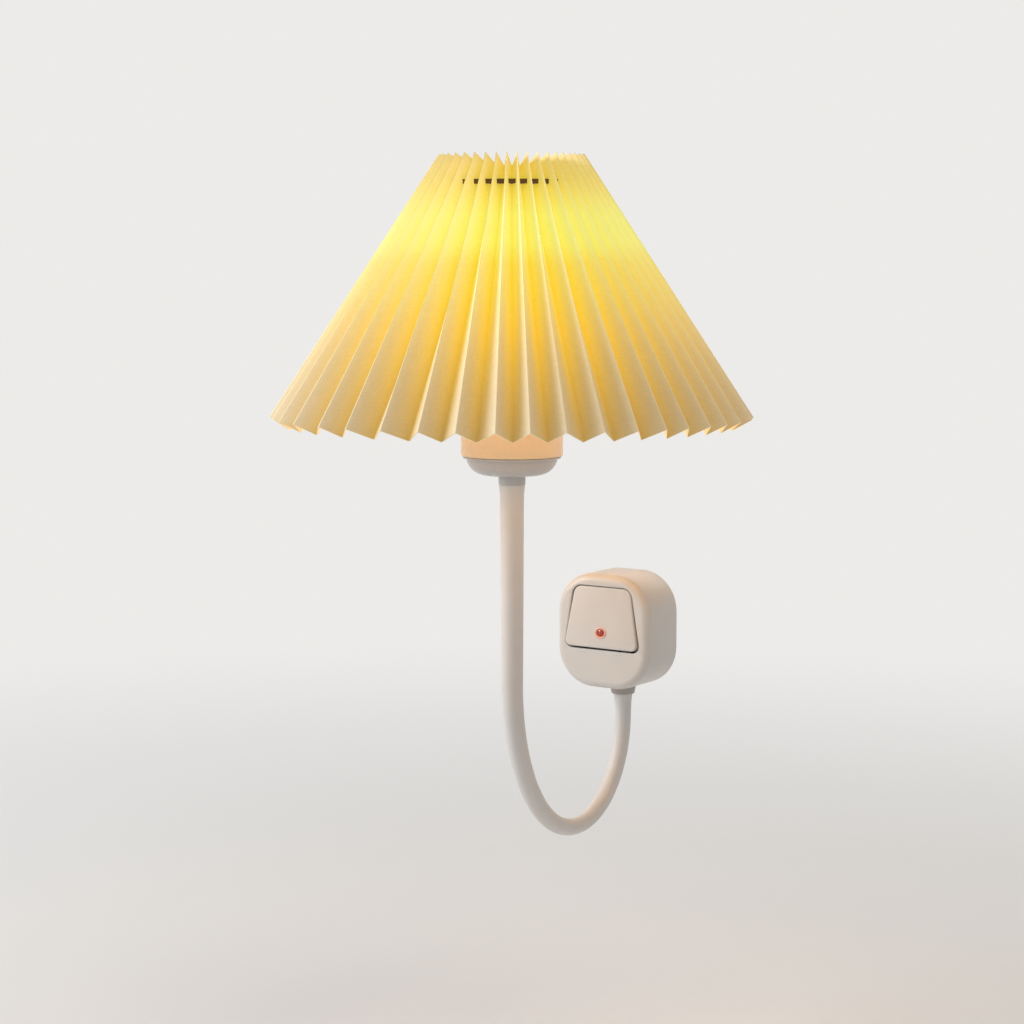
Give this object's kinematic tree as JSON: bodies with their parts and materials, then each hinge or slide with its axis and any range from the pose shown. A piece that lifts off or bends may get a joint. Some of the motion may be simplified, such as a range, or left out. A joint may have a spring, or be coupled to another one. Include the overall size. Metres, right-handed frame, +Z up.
{
  "type": "plug-in wall light",
  "caption": "Wall light that plugs straight into a socket: switched plug with a rocker and red lens, white U-bent gooseneck, lamp holder and a pale yellow pleated shade.",
  "frame": {"origin": "middle of the plug's back face, where it meets the wall plate", "axes": "+X right seen from the room, +Y into the wall, +Z up"},
  "size_m": [0.2258, 0.2394, 0.3338],
  "materials": {
    "housing": "satin warm white",
    "rocker": "satin warm white",
    "lens": "clear red",
    "neon": "clear",
    "steel": "zinc plated",
    "brass": "bright",
    "sleeve": "matt white",
    "paint": "satin warm white",
    "porcelain": "glazed",
    "insulator": "black",
    "bulb_plastic": "matt white",
    "opal": "opal, lit",
    "board": "plain",
    "cloth": "pleated cloth on clear backing, pale yellow",
    "ring": "dark brown",
    "lead_brown": "insulated wire",
    "lead_blue": "insulated wire"
  },
  "bodies": {
    "plug": {"plug_shell": "housing", "rear_cover": "housing", "cover_screws": "steel", "blade_live": "brass", "blade_neutral": "brass", "switch_base": "housing", "terminal_common": "brass", "terminal_line": "brass", "exit_bush": "housing", "lower_locknut": "steel", "sleeve_outlet": "sleeve", "sleeve_base_bend": "sleeve", "gooseneck_core": "steel", "lead_live": "lead_brown", "lead_neutral": "lead_blue", "lead_switched": "lead_brown"},
    "rocker": {"rocker": "rocker", "indicator_lens": "lens", "neon_lamp": "neon", "switch_plunger": "steel"},
    "contact": {"contact_lever": "brass"},
    "neck_lower": {"sleeve_lower": "sleeve", "sleeve_u_bend": "sleeve"},
    "neck_riser": {"sleeve_riser": "sleeve", "sleeve_head_bend": "sleeve"},
    "head": {"sleeve_top": "sleeve", "upper_ferrule": "paint", "cup": "paint", "cup_washer": "steel", "cup_locknut": "steel", "holder_skirt": "paint", "lamp_socket": "porcelain", "screw_shell": "brass", "centre_contact": "brass", "retaining_ring": "bulb_plastic", "bulb_contact": "steel", "bulb_insulator": "insulator", "bulb_cap": "steel", "bulb_body": "bulb_plastic", "led_board": "board", "bulb_globe": "opal", "shade_ring": "ring", "shade_legs": "steel", "fitter_ring": "steel", "pleated_shade": "cloth"}
  },
  "joints": [
    {"name": "rocker_press", "type": "hinge", "parent": "plug", "child": "rocker", "pos_m": [0, -0.024, 0.0068], "axis": [1, 0, 0], "range_deg": [0, 7]},
    {"name": "contact_flip", "type": "hinge", "parent": "plug", "child": "contact", "pos_m": [0, -0.0145, 0.0068], "axis": [1, 0, 0], "range_deg": [-16, 0]},
    {"name": "neck_swing", "type": "hinge", "parent": "plug", "child": "neck_lower", "pos_m": [0, -0.0111, -0.0605], "axis": [0, 1, 0], "range_deg": [-25, 25], "deforming": ["sleeve_base_bend", "gooseneck_core", "lead_neutral", "lead_switched"]},
    {"name": "neck_reach", "type": "hinge", "parent": "neck_lower", "child": "neck_riser", "pos_m": [0, -0.057, -0.0945], "axis": [1, 0, 0], "range_deg": [0, 35], "deforming": ["sleeve_u_bend", "gooseneck_core", "lead_neutral", "lead_switched"]},
    {"name": "head_tilt", "type": "hinge", "parent": "neck_riser", "child": "head", "pos_m": [0, -0.1105, 0.0559], "axis": [1, 0, 0], "range_deg": [-20, 25], "deforming": ["sleeve_head_bend", "gooseneck_core", "lead_neutral", "lead_switched"]}
  ],
  "couplings": [
    {"joint": "contact_flip", "follows": "rocker_press", "ratio": -2.2857}
  ]
}
